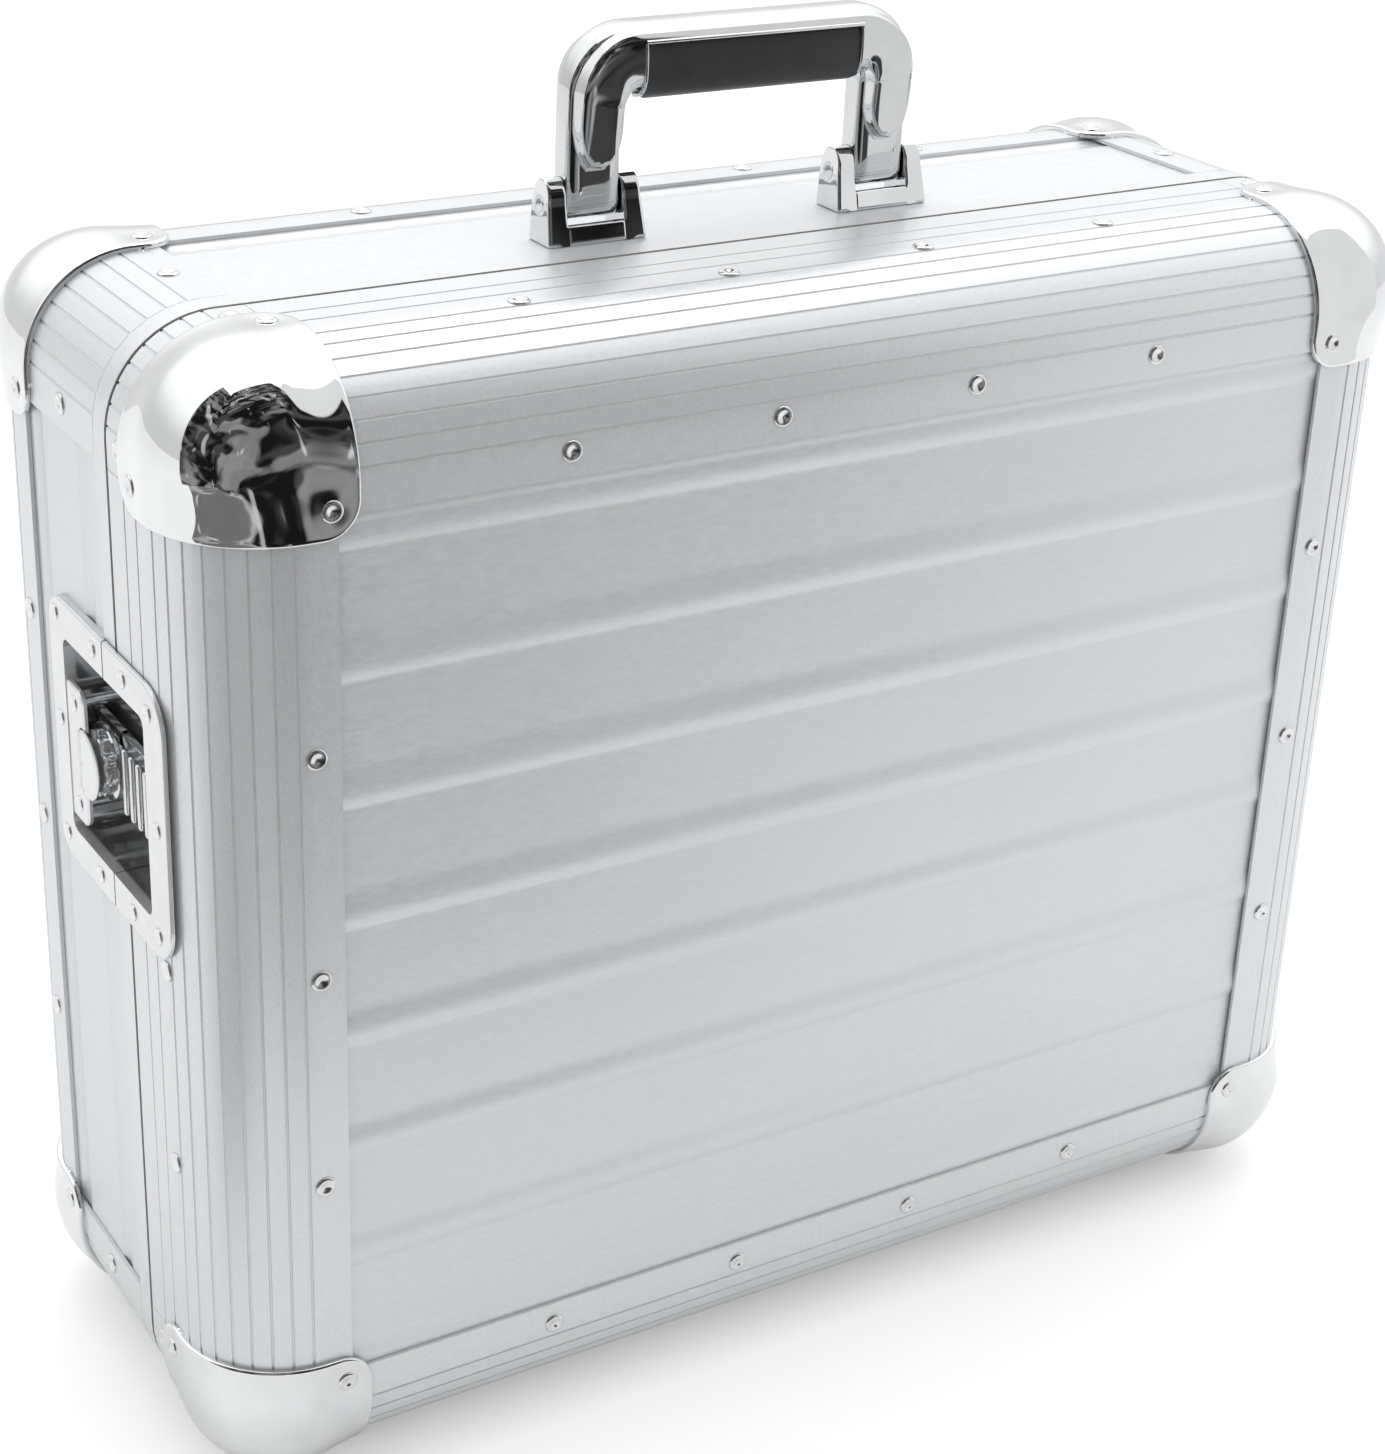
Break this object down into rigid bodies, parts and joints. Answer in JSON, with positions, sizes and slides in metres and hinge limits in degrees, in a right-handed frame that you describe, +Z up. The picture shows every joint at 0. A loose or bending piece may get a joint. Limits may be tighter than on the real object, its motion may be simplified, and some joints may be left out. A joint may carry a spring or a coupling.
{
  "type": "turntable flight case",
  "caption": "Upright aluminium case in two halves with grooved edge extrusions, ball corners, recessed turn latches and a folding handle, lined with foam for a record player.",
  "frame": {"origin": "centre of the footprint on the floor under the feet", "axes": "+X across the width to the right, -Y is the front of the lid, +Z up"},
  "size_m": [0.5262, 0.2102, 0.5226],
  "materials": {
    "sheet_aluminium": "satin anodised sheet on plywood",
    "profile_aluminium": "satin anodised extrusion",
    "chrome": "polished",
    "latch_steel": "bright zinc plate",
    "rivet_aluminium": "bright",
    "foot_rubber": "matt",
    "hinge_steel": "zinc plate",
    "foam": "dark cut foam",
    "grip_plastic": "finely textured"
  },
  "bodies": {
    "base": {"base_back_panel": "sheet_aluminium", "base_board_left": "sheet_aluminium", "base_board_right": "sheet_aluminium", "base_board_top": "sheet_aluminium", "base_board_bottom": "sheet_aluminium", "base_profile_top": "profile_aluminium", "base_profile_bottom": "profile_aluminium", "base_profile_left": "profile_aluminium", "base_profile_right": "profile_aluminium", "base_corner_profiles": "profile_aluminium", "base_lip_frame": "profile_aluminium", "base_corner_caps": "chrome", "base_rivets": "rivet_aluminium", "base_cap_rivets": "rivet_aluminium", "base_feet": "foot_rubber", "base_foot_screws": "hinge_steel", "base_foam_walls": "foam", "base_foam_pad": "foam", "handle_bracket_left": "chrome", "handle_bracket_right": "chrome", "handle_pins": "chrome", "hinge_base_leaves": "hinge_steel", "hinge_pins": "hinge_steel", "latch_left_dish_rear": "latch_steel", "latch_right_dish_rear": "latch_steel", "latch_left_plate": "latch_steel", "latch_right_plate": "latch_steel", "latch_base_rivets": "rivet_aluminium"},
    "lid": {"lid_front_panel": "sheet_aluminium", "lid_profile_top": "profile_aluminium", "lid_profile_bottom": "profile_aluminium", "lid_profile_left": "profile_aluminium", "lid_profile_right": "profile_aluminium", "lid_corner_profiles": "profile_aluminium", "lid_tongue_frame": "profile_aluminium", "lid_corner_caps": "chrome", "lid_rivets": "rivet_aluminium", "lid_cap_rivets": "rivet_aluminium", "lid_feet": "foot_rubber", "lid_foot_screws": "hinge_steel", "lid_foam_walls": "foam", "lid_foam_pad": "foam", "hinge_lid_leaves": "hinge_steel", "latch_left_dish_front": "latch_steel", "latch_right_dish_front": "latch_steel", "latch_left_keeper": "latch_steel", "latch_right_keeper": "latch_steel", "latch_lid_rivets": "rivet_aluminium"},
    "handle": {"handle_frame": "chrome", "handle_grip": "grip_plastic"},
    "latch_left_turn": {"latch_left_drum": "latch_steel", "latch_left_wing_pin": "latch_steel"},
    "latch_left_wing": {"latch_left_wing": "latch_steel"},
    "latch_left_hook": {"latch_left_hook": "latch_steel"},
    "latch_right_turn": {"latch_right_drum": "latch_steel", "latch_right_wing_pin": "latch_steel"},
    "latch_right_wing": {"latch_right_wing": "latch_steel"},
    "latch_right_hook": {"latch_right_hook": "latch_steel"}
  },
  "joints": [
    {"name": "lid_hinge", "type": "hinge", "parent": "base", "child": "lid", "pos_m": [0, -0.029, 0.0045], "axis": [1, 0, 0], "range_deg": [0, 100]},
    {"name": "handle_fold", "type": "hinge", "parent": "base", "child": "handle", "pos_m": [0, 0.003, 0.457], "axis": [-1, 0, 0], "range_deg": [0, 85]},
    {"name": "latch_left_turn", "type": "hinge", "parent": "base", "child": "latch_left_turn", "pos_m": [-0.262, 0.004, 0.272], "axis": [-1, 0, 0], "range_deg": [0, 180]},
    {"name": "latch_left_wing_fold", "type": "hinge", "parent": "latch_left_turn", "child": "latch_left_wing", "pos_m": [-0.2611, 0.007, 0.272], "axis": [0, 0, -1], "range_deg": [0, 90]},
    {"name": "latch_left_hook_slide", "type": "slide", "parent": "base", "child": "latch_left_hook", "axis": [0, -1, 0], "range_m": [0, 0.008]},
    {"name": "latch_right_turn", "type": "hinge", "parent": "base", "child": "latch_right_turn", "pos_m": [0.262, 0.004, 0.272], "axis": [1, 0, 0], "range_deg": [0, 180]},
    {"name": "latch_right_wing_fold", "type": "hinge", "parent": "latch_right_turn", "child": "latch_right_wing", "pos_m": [0.2611, 0.007, 0.272], "axis": [0, 0, 1], "range_deg": [0, 90]},
    {"name": "latch_right_hook_slide", "type": "slide", "parent": "base", "child": "latch_right_hook", "axis": [0, -1, 0], "range_m": [0, 0.008]}
  ],
  "couplings": [
    {"joint": "latch_left_hook_slide", "follows": "latch_left_turn", "m_per_rad": 0.0025465},
    {"joint": "latch_right_hook_slide", "follows": "latch_right_turn", "m_per_rad": 0.0025465}
  ]
}
